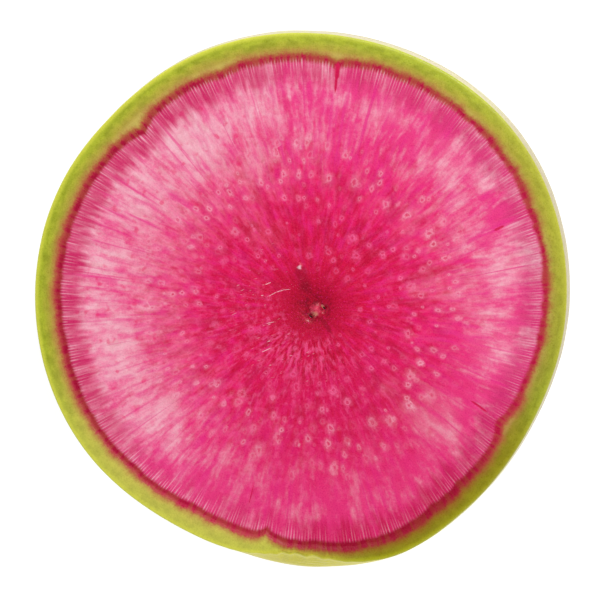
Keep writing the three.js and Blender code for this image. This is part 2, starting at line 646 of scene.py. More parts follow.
def skin_profile(soft):
    """Inset and height of each row of skin, from the rounded lower cut edge to the upper one."""
    turns = [math.radians(degrees) for degrees in CORNER_TURNS]
    corner = [(-soft * (1 - math.sin(turn)), soft * (1 - math.cos(turn))) for turn in turns]
    side = [(0.0, height) for height in np.linspace(soft, THICKNESS - soft, SKIN_ROWS)]
    return corner + side + [(inset, THICKNESS - height) for inset, height in reversed(corner)]


def add_skin_rows(rows, plan, shape):
    """Lower cut edge, skin and upper cut edge."""
    angle = angles_of(AROUND)
    outline = plan.outline(angle)
    profile = skin_profile(shape.edge_softening / MM)
    for i, (inset, height) in enumerate(profile):
        from_middle = 2 * height / THICKNESS - 1
        bow = shape.skin_bow / MM * (1 - from_middle**2)
        wave = skin_wave(angle, outline, height) * shape.skin_wave / MM * (1 - from_middle**4)
        radius = outline - plan.skin_lean(angle, from_middle) + inset + bow + wave
        row = SimpleNamespace(
            x=radius * np.cos(angle),
            y=radius * np.sin(angle),
            rim=np.full_like(angle, -inset),
            ring=plan.ring_depth(angle),
            fraction=np.ones_like(angle),
        )
        on_face = i == 0 or i >= len(profile) - len(CORNER_TURNS)
        rows.add(row, height, "rim" if on_face else "skin")


def skin_wave(angle, outline, height):
    """Unevenness of the skin, from about -1 to 1: low swells and fine lines round the root."""
    values = np.empty(len(angle))
    for i, (turn, radius) in enumerate(zip(angle, outline)):
        x = radius * math.cos(turn)
        y = radius * math.sin(turn)
        swell = noise.noise(Vector((0.25 * x, 0.25 * y, 0.25 * height)))
        line = noise.noise(Vector((0.12 * x, 0.12 * y, 2.2 * height)))
        values[i] = swell + 0.5 * line
    return values


def skin_map(places):
    """Map places of one face of the skin, in the strip for its half of the turn."""
    turn = np.degrees(np.arctan2(places[:, 1], places[:, 0])) % 360
    middle = math.degrees(math.atan2(places[:, 1].mean(), places[:, 0].mean())) % 360
    turn = middle + (turn - middle + 180) % 360 - 180
    strip = 0 if middle < 180 else 1
    along = MAP_MARGIN + (1 - 2 * MAP_MARGIN) * (turn - 180 * strip) / 180
    up = STRIP_FOOT + STRIP_STEP * strip + STRIP_WIDTH * places[:, 2] / THICKNESS
    return np.stack([along, up], axis=1)


def bake_layout(mesh, rows):
    """Map for baking: upper face large, lower face small beside it, skin in two strips above."""
    points = np.array(rows.points) / MM
    uv = mesh.uv_layers.new(name="OFBake")
    coords = np.zeros((len(mesh.loops), 2), np.float32)
    for polygon in mesh.polygons:
        corners = list(polygon.loop_indices)
        places = np.array([points[mesh.loops[i].vertex_index] for i in corners])
        if PARTS[polygon.material_index] == "skin":
            coords[corners] = skin_map(places)
        else:
            upper = places[:, 2].mean() > THICKNESS / 2
            centre, half_width = UPPER_MAP if upper else LOWER_MAP
            coords[corners] = np.array(centre) + half_width * places[:, :2] / MAP_REACH
    uv.data.foreach_set("uv", coords.ravel())


class NodeSheet:
    """A node tree with short calls that place a node, feed its inputs and give back an output."""

    def __init__(self, tree):
        self.tree = tree

    def feed(self, socket, value):
        if isinstance(value, bpy.types.NodeSocket):
            self.tree.links.new(value, socket)
        elif socket.type == "RGBA" and len(value) == 3:
            socket.default_value = (*value, 1.0)
        else:
            socket.default_value = value

    def put(self, kind, inputs=(), output=0, **settings):
        node = self.tree.nodes.new(kind)
        for name, value in settings.items():
            setattr(node, name, value)
        for key, value in dict(inputs).items():
            self.feed(node.inputs[key], value)
        return node.outputs[output]

    def math(self, operation, first, second=0.0, third=0.0):
        return self.put("ShaderNodeMath", {0: first, 1: second, 2: third}, operation=operation)

    def times(self, first, *others):
        """The product of all the values."""
        for other in others:
            first = self.math("MULTIPLY", first, other)
        return first

    def scale_add(self, value, factor, base):
        """The value times the factor, added to the base."""
        return self.math("MULTIPLY_ADD", value, factor, base)

    def vector(self, operation, first, second=(0.0, 0.0, 0.0), scale=1.0):
        output = 1 if operation in ("LENGTH", "DOT_PRODUCT", "DISTANCE") else 0
        inputs = {0: first, 1: second}
        if operation == "SCALE":
            inputs = {0: first, 3: scale}
        return self.put("ShaderNodeVectorMath", inputs, output, operation=operation)

    def step(self, value, low, high, to_low=0.0, to_high=1.0):
        """A smooth step of the value from low to high."""
        inputs = {"Value": value, "From Min": low, "From Max": high, "To Min": to_low, "To Max": to_high}
        return self.put("ShaderNodeMapRange", inputs, interpolation_type="SMOOTHSTEP")

    def mix(self, amount, first, second, blend="MIX"):
        inputs = {0: amount, 6: first, 7: second}
        return self.put("ShaderNodeMix", inputs, 2, data_type="RGBA", blend_type=blend)

    def tint(self, colour, towards, *masks):
        """The colour mixed towards another one by the product of the masks."""
        return self.mix(self.times(*masks), colour, towards)

    def shaded(self, colour, brightness):
        """The colour made lighter or darker by a factor."""
        grey = self.put("ShaderNodeCombineColor", {0: brightness, 1: brightness, 2: brightness})
        return self.mix(1.0, colour, grey, "MULTIPLY")

    def ramp(self, value, stops):
        node = self.tree.nodes.new("ShaderNodeValToRGB")
        elements = node.color_ramp.elements
        while len(elements) < len(stops):
            elements.new(0.5)
        for element, (place, colour) in zip(elements, stops):
            element.position = place
            element.color = (*colour, 1.0)
        self.feed(node.inputs[0], value)
        return node.outputs[0]

    def attribute(self, name):
        return self.put("ShaderNodeAttribute", output=2, attribute_name=name)

    def noise(self, vector, scale, detail=2.0, roughness=0.5):
        inputs = {"Vector": vector, "Scale": scale, "Detail": detail, "Roughness": roughness}
        return self.put("ShaderNodeTexNoise", inputs)

    def group(self, tree, *values):
        """A shader group, with its inputs given in the order of its sockets."""
        return self.put("ShaderNodeGroup", dict(enumerate(values)), node_tree=tree)


def new_group(name, vectors, values, results):
    """An empty shader group with named sockets: its tree, its sheet, its inputs and its outputs."""
    tree = bpy.data.node_groups.new(name, "ShaderNodeTree")
    sockets = [(socket, "INPUT", "NodeSocketVector") for socket in vectors]
    sockets += [(socket, "INPUT", "NodeSocketFloat") for socket in values]
    sockets += [(socket, "OUTPUT", "NodeSocketFloat") for socket in results]
    for socket, way, kind in sockets:
        tree.interface.new_socket(socket, in_out=way, socket_type=kind)
    given = tree.nodes.new("NodeGroupInput").outputs
    made = tree.nodes.new("NodeGroupOutput").inputs
    return tree, NodeSheet(tree), given, made


def ray_streaks_group():
    """Noise drawn out along the rays: fine round the pith, long away from it."""
    values = ("Distance", "Around", "Along", "Seed", "Detail")
    tree, sheet, given, made = new_group("Ray streaks", ("Ray",), values, ("Value",))
    turned = sheet.vector("SCALE", given["Ray"], scale=given["Around"])
    run = sheet.scale_add(given["Distance"], given["Along"], given["Seed"])
    lifted = sheet.put("ShaderNodeCombineXYZ", {"Z": run})
    place = sheet.vector("ADD", turned, lifted)
    value = sheet.noise(place, 1.0, given["Detail"])
    sheet.feed(made["Value"], value)
    return tree


def cell_grain_group():
    """Fine cell texture of plant tissue."""
    tree, sheet, given, made = new_group("Cell grain", ("Position",), ("Cell size",), ("Grain",))
    scale = sheet.math("DIVIDE", 1.0, given["Cell size"])
    fine = sheet.noise(given["Position"], scale, 2.0, 0.6)
    sheet.feed(made["Grain"], sheet.step(fine, 0.25, 0.75))
    return tree


def vessels_group():
    """Vessel openings scattered over the cut: ragged pale rims and dark cores along the rays."""
    values = ("Stretch", "Spacing", "Share")
    tree, sheet, given, made = new_group("Vessels", ("Position", "Ray"), values, ("Rim", "Core"))
    scale = sheet.math("DIVIDE", 1.0, given["Spacing"])
    place = sheet.vector("SCALE", given["Position"], scale=scale)
    inputs = {"Vector": place, "Scale": 1.0, "Randomness": 1.0}
    near = sheet.put("ShaderNodeTexVoronoi", inputs, 0, voronoi_dimensions="2D").node.outputs
    offset = sheet.vector("SUBTRACT", place, near["Position"])
    flat = sheet.vector("MULTIPLY", offset, (1.0, 1.0, 0.0))
    along = sheet.vector("DOT_PRODUCT", flat, given["Ray"])
    back = sheet.vector("SCALE", given["Ray"], scale=along)
    across = sheet.vector("LENGTH", sheet.vector("SUBTRACT", flat, back))
    drawn = sheet.put("ShaderNodeSeparateColor", {0: near["Color"]}, 0).node.outputs
    width = sheet.step(drawn[0], 0.0, 1.0, 0.065, 0.15)
    length = sheet.times(width, given["Stretch"])
    across_share = sheet.math("DIVIDE", across, width)
    along_share = sheet.math("DIVIDE", along, length)
    squares = sheet.math("POWER", across_share, 2.0)
    squares = sheet.scale_add(along_share, along_share, squares)
    reach = sheet.math("SQRT", squares)
    ragged = sheet.math("SUBTRACT", sheet.noise(given["Position"], 1.6, 3.0, 0.6), 0.5)
    reach = sheet.scale_add(ragged, 3.4, reach)
    inner = sheet.step(reach, 0.1, 0.9)
    outer = sheet.step(reach, 0.8, 2.1, 1.0, 0.0)
    chosen = sheet.math("LESS_THAN", drawn[1], given["Share"])
    strength = sheet.times(chosen, sheet.step(drawn[2], 0.1, 1.0, 0.12, 1.0))
    cloud = sheet.times(sheet.step(reach, 0.8, 3.2, 0.4, 0.0), strength)
    rim = sheet.times(inner, outer, strength)
    core = sheet.times(sheet.step(reach, 0.1, 0.6, 1.0, 0.0), strength)
    sheet.feed(made["Rim"], sheet.math("MAXIMUM", rim, cloud))
    sheet.feed(made["Core"], core)
    return tree


def knife_line_group():
    """A thin straight line on the cut, from one end to the other, fading at both ends."""
    vectors = ("Position", "Start", "End")
    tree, sheet, given, made = new_group("Knife line", vectors, ("Width",), ("Mask",))
    run = sheet.vector("SUBTRACT", given["End"], given["Start"])
    gap = sheet.vector("SUBTRACT", given["Position"], given["Start"])
    whole = sheet.vector("DOT_PRODUCT", run, run)
    share = sheet.math("DIVIDE", sheet.vector("DOT_PRODUCT", gap, run), whole)
    foot = sheet.vector("SCALE", run, scale=share)
    across = sheet.vector("LENGTH", sheet.vector("SUBTRACT", gap, foot))
    from_middle = sheet.math("ABSOLUTE", sheet.math("SUBTRACT", share, 0.5))
    ends = sheet.step(from_middle, 0.25, 0.5, 1.0, 0.0)
    wide = sheet.times(given["Width"], ends)
    line = sheet.math("SUBTRACT", 1.0, sheet.math("DIVIDE", across, sheet.math("ADD", wide, 0.001)))
    sheet.feed(made["Mask"], sheet.step(line, 0.0, 0.6))
    return tree


def soft_patch_group():
    """A soft oval about a place of the cut, drawn out along a direction."""
    vectors = ("Position", "Centre", "Direction")
    tree, sheet, given, made = new_group("Soft patch", vectors, ("Length", "Width"), ("Mask",))
    gap = sheet.vector("SUBTRACT", given["Position"], given["Centre"])
    along = sheet.vector("DOT_PRODUCT", gap, given["Direction"])
    foot = sheet.vector("SCALE", given["Direction"], scale=along)
    across = sheet.vector("LENGTH", sheet.vector("SUBTRACT", gap, foot))
    along_share = sheet.math("DIVIDE", along, given["Length"])
    across_share = sheet.math("DIVIDE", across, given["Width"])
    squares = sheet.times(along_share, along_share)
    squares = sheet.scale_add(across_share, across_share, squares)
    sheet.feed(made["Mask"], sheet.step(sheet.math("SQRT", squares), 0.2, 1.5, 1.0, 0.0))
    return tree


def shared_groups():
    return SimpleNamespace(
        streaks=ray_streaks_group(),
        grain=cell_grain_group(),
        vessels=vessels_group(),
        knife=knife_line_group(),
        patch=soft_patch_group(),
    )


def new_material(name):
    material = bpy.data.materials.new(name)
    material.use_nodes = True
    material.node_tree.nodes.clear()
    return material, NodeSheet(material.node_tree)


def finish_surface(sheet, colour, roughness, height, relief, **constants):
    """The shader of a surface, with a bump of the given relief in metres."""
    tree = sheet.tree
    bump = sheet.put("ShaderNodeBump", {"Strength": 1.0, "Distance": relief, "Height": height})
    shader = tree.nodes.new("ShaderNodeBsdfPrincipled")
    sheet.feed(shader.inputs["Base Color"], colour)
    sheet.feed(shader.inputs["Roughness"], roughness)
    sheet.feed(shader.inputs["Normal"], bump)
    for name, value in constants.items():
        shader.inputs[name.replace("_", " ")].default_value = value
    output = tree.nodes.new("ShaderNodeOutputMaterial")
    tree.links.new(shader.outputs[0], output.inputs["Surface"])


class FacePlaces:
    """Where a point of the cut face lies: in millimetres, from the pith, from the skin and from the ring."""

    def __init__(self, sheet, groups):
        self.sheet = sheet
        self.groups = groups
        local = sheet.put("ShaderNodeTexCoord", output=3)
        self.position = sheet.vector("SCALE", local, scale=1 / MM)
        self.flat = sheet.vector("MULTIPLY", self.position, (1.0, 1.0, 0.0))
        from_pith = sheet.vector("SUBTRACT", self.flat, (*PITH, 0.0))
        self.distance = sheet.vector("LENGTH", from_pith)
        self.ray = sheet.vector("NORMALIZE", from_pith)
        self.rim = sheet.attribute("rim_depth")
        self.ring = sheet.attribute("ring_offset")
        self.fraction = sheet.attribute("flesh_fraction")
        self.add_loose_places()
        self.add_lower_face()

    def add_loose_places(self):
        """Rays and places that wander a little, so that nothing runs dead straight."""
        sheet = self.sheet
        inputs = {"Vector": self.flat, "Scale": 0.22, "Detail": 1.0}
        cloud = sheet.put("ShaderNodeTexNoise", inputs, 1)
        drift = sheet.vector("SUBTRACT", cloud, (0.5, 0.5, 0.5))
        bend = sheet.vector("MULTIPLY", drift, (0.035, 0.035, 0.0))
        self.bent_ray = sheet.vector("NORMALIZE", sheet.vector("ADD", self.ray, bend))
        self.loose = sheet.vector("ADD", self.flat, sheet.vector("MULTIPLY", drift, (6.0, 6.0, 0.0)))

    def add_lower_face(self):
        """Other streaks and vessels for the lower face, and no knife marks on it."""
        sheet = self.sheet
        height = sheet.put("ShaderNodeSeparateXYZ", {0: self.position}, 2)
        lower = sheet.step(height, 0.25 * THICKNESS, 0.75 * THICKNESS, 1.0, 0.0)
        self.run = sheet.scale_add(lower, 90.0, self.distance)
        self.grown = sheet.vector("ADD", self.flat, sheet.vector("SCALE", (60.0, 40.0, 0.0), scale=lower))
        self.marked = sheet.vector("ADD", self.flat, sheet.vector("SCALE", (500.0, 0.0, 0.0), scale=lower))

    def streaks(self, around, along, seed, detail=2.0, straight=False):
        """Noise along the rays, which wander unless they are asked for straight."""
        ray = self.ray if straight else self.bent_ray
        return self.sheet.group(self.groups.streaks, ray, self.run, around, along, seed, detail)

    def side(self, degrees, low, high):
        """A mask of the side of the slice that lies towards a direction."""
        return self.sheet.step(self.sheet.vector("DOT_PRODUCT", self.ray, direction(degrees)), low, high)

    def belt(self, near, full, fading, far):
        """A mask of the distances from the pith between near and far."""
        grown = self.sheet.step(self.distance, near, full)
        return self.sheet.times(grown, self.sheet.step(self.distance, fading, far, 1.0, 0.0))

    def patch(self, position, degrees, distance, length, width):
        """A soft oval about a place, given by its direction and distance from the pith."""
        ray = direction(degrees)
        centre = Vector((*PITH, 0.0)) + distance * ray
        return self.sheet.group(self.groups.patch, position, centre, ray, length, width)

    def spot(self, place, inner, outer):
        """A soft round mask about a place of the cut, with an uneven edge."""
        gap = self.sheet.vector("DISTANCE", self.flat, (*place, 0.0))
        uneven = self.sheet.math("SUBTRACT", self.sheet.noise(self.flat, 2.5, 2.0), 0.5)
        gap = self.sheet.scale_add(uneven, 1.2 * outer, gap)
        return self.sheet.step(gap, inner, outer, 1.0, 0.0)

    def knife_line(self, position, start, end, width):
        """A mask of a thin straight line between two places of the cut."""
        return self.sheet.group(self.groups.knife, position, (*start, 0.0), (*end, 0.0), width)


def flesh_colour(sheet, at, look, patches):
    """Magenta flesh: dark heart, then pale patches woven with streaks, palest on one side."""
    stops = (
        (0.03, look.flesh_heart),
        (0.2, look.flesh_inner),
        (0.5, look.flesh_middle),
        (0.85, look.flesh_outer),
    )
    base = sheet.ramp(at.fraction, stops)
    clouds = 0.0
    for degrees, distance, length, width, change in patches:
        mask = at.patch(at.loose, degrees, distance, length, width)
        clouds = sheet.scale_add(mask, change, clouds)
    base = sheet.tint(base, look.flesh_pale, clouds, 2.0)
    weave = sheet.times(clouds, 0.6)
    for degrees, low, change in FLESH_SIDES:
        weave = sheet.scale_add(at.side(degrees, low, 1.0), change, weave)
    for noise_value, share in (
        (at.streaks(6.0, 0.22, 3.0, 4.0), 0.32),
        (at.streaks(19.0, 0.28, 11.0, 3.0), 0.34),
        (at.streaks(54.0, 0.4, 23.0), 0.2),
        (sheet.noise(at.grown, 1.8, 3.0, 0.6), 0.14),
    ):
        weave = sheet.scale_add(noise_value, share, weave)
    outwards = sheet.step(at.fraction, 0.36, 0.88, 0.0, 0.88)
    colour = sheet.tint(base, look.flesh_pale, sheet.step(weave, 0.415, 0.655), outwards)
    colour = add_mottles(sheet, at, look, colour)
    colour = add_streaks(sheet, at, look, colour)
    return add_blots(sheet, at, look, colour)


def add_mottles(sheet, at, look, colour):
    """Magenta and crimson mottles, most of them in the inner flesh."""
    hue = sheet.times(at.streaks(16.0, 0.3, 47.0, 3.0), 0.5)
    hue = sheet.scale_add(sheet.noise(at.grown, 0.55, 4.0, 0.6), 0.5, hue)
    inner = sheet.times(sheet.step(at.fraction, 0.45, 0.8, 1.0, 0.3), sheet.step(at.fraction, 0.08, 0.25))
    colour = sheet.tint(colour, look.flesh_magenta, sheet.step(hue, 0.47, 0.62, 0.0, 0.7), inner)
    return sheet.tint(colour, look.flesh_crimson, sheet.step(hue, 0.38, 0.5, 0.6, 0.0), inner)


def add_streaks(sheet, at, look, colour):
    """Light, deep and thin hot streaks along the rays."""
    light = sheet.step(at.streaks(24.0, 0.45, 31.0), 0.45, 0.75)
    colour = sheet.tint(colour, look.flesh_fleck, light, sheet.step(at.fraction, 0.2, 0.5, 0.0, 0.24))
    deep = sheet.step(at.streaks(30.0, 0.3, 51.0, 3.0), 0.44, 0.76)
    growing = sheet.step(at.fraction, 0.1, 0.35, 0.3, 0.8)
    fading = sheet.step(at.fraction, 0.6, 0.85, 1.0, 0.7)
    tone = sheet.mix(sheet.step(at.fraction, 0.35, 0.65), look.flesh_inner, look.flesh_hot)
    colour = sheet.tint(colour, tone, deep, growing, fading)
    hot = sheet.step(at.streaks(58.0, 0.06, 37.0, 1.0, True), 0.58, 0.76)
    return sheet.tint(colour, look.flesh_hot, hot, sheet.step(at.fraction, 0.45, 0.8, 0.0, 0.7))


def add_blots(sheet, at, look, colour):
    """Deeper flesh on the lower side, and light blots, most of them on the left."""
    growing = sheet.step(at.fraction, 0.15, 0.4, 0.0, 0.7)
    fading = sheet.step(at.fraction, 0.5, 0.8, 1.0, 0.55)
    colour = sheet.tint(colour, look.flesh_below, at.side(284, 0.4, 1.0), growing, fading)
    blots = sheet.step(sheet.noise(at.grown, 0.8, 2.0, 0.6), 0.5, 0.68)
    share = sheet.scale_add(at.side(205, -0.2, 0.8), 0.2, 0.12)
    return sheet.tint(colour, look.flesh_fleck, blots, share, sheet.step(at.fraction, 0.08, 0.35))


def add_dashes(sheet, at, look, colour):
    """Dark mottles of the inner flesh, and short light and dark dashes along the rays."""
    dark = sheet.step(at.streaks(10.0, 0.3, 67.0, 3.0), 0.44, 0.68)
    colour = sheet.tint(colour, look.flesh_heart, dark, sheet.step(at.fraction, 0.35, 0.8, 0.45, 0.0))
    dash = at.streaks(32.0, 0.8, 91.0, 3.0)
    share = sheet.scale_add(at.side(245, -0.3, 0.7), 0.5, 0.4)
    growing = sheet.step(at.fraction, 0.12, 0.3)
    fading = sheet.step(at.fraction, 0.5, 0.82, 1.0, 0.0)
    spread = sheet.times(share, growing, fading)
    colour = sheet.tint(colour, look.flesh_fleck, spread, sheet.step(dash, 0.54, 0.7, 0.0, 0.32))
    return sheet.tint(colour, look.flesh_crimson, spread, sheet.step(dash, 0.33, 0.48, 0.45, 0.0))


def add_fan(sheet, at, look, colour):
    """Blots and a fan of scales below the pith, and tiny bright dashes along the knife's run that are
    painted glints of the wet cut.
    """
    blots = sheet.step(sheet.noise(at.grown, 1.2, 3.0, 0.6), 0.47, 0.7, 0.0, 0.45)
    flecked = sheet.times(at.side(222, 0.3, 0.9), at.belt(3.0, 5.0, 8.0, 12.0))
    colour = sheet.tint(colour, look.flesh_fleck, flecked, blots)
    scales = at.streaks(17.0, 0.75, 73.0, 3.0)
    fan = sheet.times(at.side(258, 0.45, 0.95), at.belt(4.0, 5.5, 8.0, 11.5))
    colour = sheet.tint(colour, look.flesh_fleck, fan, sheet.step(scales, 0.5, 0.66, 0.0, 0.5))
    colour = sheet.tint(colour, look.flesh_heart, fan, sheet.step(scales, 0.36, 0.5, 0.75, 0.0))
    # Painted glints: tiny bright dashes drawn out along the knife's run
    along = sheet.vector("DOT_PRODUCT", at.grown, 0.9 * KNIFE_RUN)
    across = sheet.vector("DOT_PRODUCT", at.grown, 3.6 * KNIFE_RUN.cross(Vector((0.0, 0.0, -1.0))))
    place = sheet.put("ShaderNodeCombineXYZ", {"X": along, "Y": across})
    dash = sheet.step(sheet.noise(place, 1.0, 1.0), 0.68, 0.8, 0.0, 0.6)
    return sheet.tint(colour, look.hairline_and_glint, dash, at.belt(4.0, 6.0, 9.0, 13.5), at.side(215, -0.3, 0.6))


def add_vessels(sheet, at, groups, look, colour):
    """Two sets of vessels, the outer ones paler and drawn out further along the rays."""
    stretch = sheet.step(at.distance, 8.0, 30.0, 1.0, 1.8)
    strength = sheet.times(sheet.step(at.fraction, 0.5, 0.82, 1.0, 0.0), sheet.step(at.fraction, 0.1, 0.22))
    rim_colour = sheet.mix(sheet.step(at.fraction, 0.3, 0.75), look.flesh_fleck, look.flesh_pale)
    rims = 0.0
    for spacing, share in VESSEL_SETS:
        made = sheet.group(groups.vessels, at.grown, at.ray, stretch, spacing, share).node.outputs
        rim = sheet.times(made["Rim"], strength, 0.65)
        core = sheet.times(made["Core"], strength, 0.55)
        colour = sheet.mix(rim, colour, rim_colour)
        colour = sheet.mix(core, colour, look.flesh_inner)
        rims = sheet.math("ADD", sheet.math("SUBTRACT", rim, core), rims)
    return colour, rims


def add_dots(sheet, at, look, colour):
    """Soft dark dots on the pale side of the flesh."""
    dots = sheet.step(sheet.noise(at.grown, 0.75, 1.0), 0.62, 0.76, 0.0, 0.55)
    outer = sheet.step(at.fraction, 0.5, 0.65)
    return sheet.tint(colour, look.flesh_middle, dots, at.side(160, 0.3, 0.8), outer)


def add_hairlines(sheet, at, look, colour):
    """Fine pale lines that run in from the ring."""
    split_ray = sheet.put("ShaderNodeSeparateXYZ", {0: at.ray}, 0).node.outputs
    turn = sheet.math("ARCTAN2", split_ray[1], split_ray[0])
    shift = sheet.times(at.streaks(26.0, 0.02, 79.0, 1.0, True), 9.0)
    lines = sheet.step(sheet.math("SINE", sheet.scale_add(turn, HAIRLINES, shift)), 0.0, 1.0)
    reach = sheet.step(at.streaks(60.0, 0.0, 83.0, 2.0, True), 0.3, 0.7, -1.2, -4.4)
    inward = sheet.step(at.ring, reach, -0.8)
    across = sheet.scale_add(at.side(85, 0.6, 0.95), -0.35, at.ring)
    outward = sheet.step(across, -0.85, -0.3, 1.0, 0.0)
    bright = sheet.step(at.streaks(150.0, 0.1, 97.0, 2.0, True), 0.35, 0.7, 0.12, 0.65)
    patch = sheet.step(at.streaks(9.0, 0.0, 89.0, 2.0, True), 0.35, 0.6, 0.5, 0.8)
    for degrees, low, high, change in HAIRLINE_SIDES:
        patch = sheet.scale_add(at.side(degrees, low, high), change, patch)
    return sheet.tint(colour, look.hairline_and_glint, lines, inward, outward, bright, patch)


def add_splits(sheet, at, look, colour):
    """Short red splits, and a hot line that runs on inwards from one of them."""
    for line in SPLIT_LINES:
        colour = sheet.tint(colour, look.split_red, at.knife_line(at.marked, *line))
    return sheet.tint(colour, look.flesh_hot, at.patch(at.marked, *SPLIT_RUN), 0.7)


def add_fibres(sheet, at, look, colour):
    """Pale fibres beyond the outer end of a split."""
    fibre = sheet.step(at.streaks(170.0, 0.1, 101.0, 1.0, True), 0.35, 0.65, 0.1, 0.55)
    return sheet.tint(colour, look.hairline_and_glint, at.patch(at.marked, *SPLIT_FIBRES), fibre)


def add_scratches_and_glints(sheet, at, look, colour):
    """Thin pale lines: scratches left by the knife, partly painted glints."""
    marks = 0.0
    for line in SCRATCH_AND_GLINT_LINES:
        marks = sheet.math("MAXIMUM", at.knife_line(at.marked, *line), marks)
    return sheet.tint(colour, look.hairline_and_glint, marks, 0.6)


def add_pith(sheet, at, look, colour):
    """Pink nub with a beige cap between two pits darkened with painted shade, and the smear up to a raised
    speck.
    """
    dots = sheet.step(sheet.noise(at.flat, 1.3, 5.0, 0.8), 0.45, 0.56)
    colour = sheet.tint(colour, look.pith_dark, dots, at.spot(PITH, 0.8, 4.0))
    sparks = sheet.step(sheet.noise(at.flat, 3.2, 3.0, 0.7), 0.55, 0.68, 0.0, 0.6)
    colour = sheet.tint(colour, look.flesh_magenta, sparks, at.belt(0.5, 1.5, 4.0, 7.0))
    for start, end, width, strength in PITH_SMEARS:
        colour = sheet.tint(colour, look.pith_dark, at.knife_line(at.flat, start, end, width), strength)
    colour = sheet.tint(colour, look.pith_dark, at.spot(SMEAR, 0.1, 1.1), 0.6)
    colour = sheet.tint(colour, look.pith_pink, at.spot(NUB, 0.3, 1.1), 0.7)
    for place, radius in PITH_CAPS:
        colour = sheet.tint(colour, look.pith_beige, at.spot(place, 0.05, radius), 0.6)
    # Painted shade: the pits beside the nub darkened to near black
    for slot in PITH_PIT_SHADES:
        colour = sheet.tint(colour, look.pith_pit_shade, at.knife_line(at.flat, *slot))
    return sheet.tint(colour, look.hairline_and_glint, at.spot(SPECK, 0.05, 0.42), 0.7)


def rind_colour(sheet, at, look):
    """Rind from green at the skin to tan inside, mottled, with painted shade that makes it darker and olive
    on the lower right side and painted light that makes it lighter on the lower left side.
    """
    cloud = sheet.noise(at.position, 0.5, 3.0)
    shifted = sheet.scale_add(cloud, 1.1, at.rim)
    colour = sheet.mix(sheet.step(shifted, 1.2, 3.1), look.rind_green, look.rind_tan)
    streak = sheet.step(at.streaks(20.0, 1.1, 5.0, 3.0), 0.42, 0.66)
    speckle = sheet.step(sheet.noise(at.position, 3.2, 2.0), 0.54, 0.7, 0.0, 0.8)
    belt = sheet.times(sheet.step(at.rim, 0.3, 0.9), sheet.step(at.rim, 1.3, 2.6, 1.0, 0.0))
    colour = sheet.tint(colour, look.rind_shade, sheet.math("MAXIMUM", streak, speckle), belt, 0.6)
    # Painted shade on the lower right side, darker and olive, then painted light on the lower left side
    colour = sheet.tint(colour, sheet.shaded(colour, 0.76), at.side(318, 0.5, 0.95))
    colour = sheet.tint(colour, look.rind_painted_shade, at.side(304, 0.8, 0.97), 0.75)
    colour = sheet.tint(colour, look.rind_painted_light, at.side(236, 0.65, 1.0), 0.5)
    mottle = sheet.step(sheet.noise(at.position, 0.9, 4.0, 0.6), 0.35, 0.65, 0.91, 1.06)
    colour = sheet.shaded(colour, mottle)
    beside = sheet.times(sheet.step(at.rim, 2.1, 3.0), sheet.step(at.ring, 0.4, 1.0))
    colour = sheet.tint(colour, look.rind_pale, beside, 0.55)
    specks = sheet.step(sheet.noise(at.position, 2.6, 3.0, 0.7), 0.53, 0.66, 0.0, 0.65)
    near_ring = sheet.step(at.ring, 0.9, 1.9, 1.0, 0.0)
    colour = sheet.tint(colour, look.ring_brown, specks, at.side(4, 0.93, 0.99), near_ring)
    return add_rind_edge(sheet, at, look, colour)


def add_rind_edge(sheet, at, look, colour):
    """Bright line along the skin, partly the rind's own colour and partly a painted highlight where the
    rounded cut edge catches light; fainter on the right.
    """
    # Painted highlight along the cut edge, mixed with the rind's own edge colour
    weight = sheet.scale_add(at.side(15, -0.2, 0.8), -0.8, 1.0)
    line_colour = sheet.mix(at.side(274, 0.94, 0.99), look.rind_edge_and_highlight, look.skin_yellow)
    line_colour = sheet.mix(at.side(302, 0.86, 0.96), line_colour, look.rind_line)
    colour = sheet.tint(colour, line_colour, weight, sheet.step(at.rim, 0.0, 0.8, 0.8, 0.0))
    return sheet.tint(colour, look.rind_tan, at.side(16, 0.72, 1.0), 0.32)


def add_fringe(sheet, at, look, flesh):
    """Deeper flesh just inside the ring, uneven, and a little shaded on one side."""
    uneven = sheet.step(at.streaks(34.0, 0.05, 61.0, 3.0), 0.3, 0.7, 0.35, 0.85)
    uneven = sheet.times(uneven, sheet.scale_add(at.side(5, 0.3, 0.95), -0.6, 1.0))
    uneven = sheet.scale_add(at.side(155, 0.4, 0.9), 0.25, uneven)
    uneven = sheet.scale_add(at.side(244, 0.85, 0.98), -0.3, uneven)
    deep = sheet.step(at.streaks(45.0, 0.0, 41.0, 3.0, True), 0.3, 0.7, -5.3, -3.7)
    near = sheet.step(at.ring, deep, sheet.math("ADD", deep, 2.4))
    fringe = sheet.mix(at.side(295, 0.6, 0.98), look.fringe, look.fringe_below)
    flesh = sheet.tint(flesh, fringe, near, uneven)
    shade = sheet.times(at.side(358, 0.25, 0.9), near)
    return sheet.shaded(flesh, sheet.scale_add(shade, -0.11, 1.0))


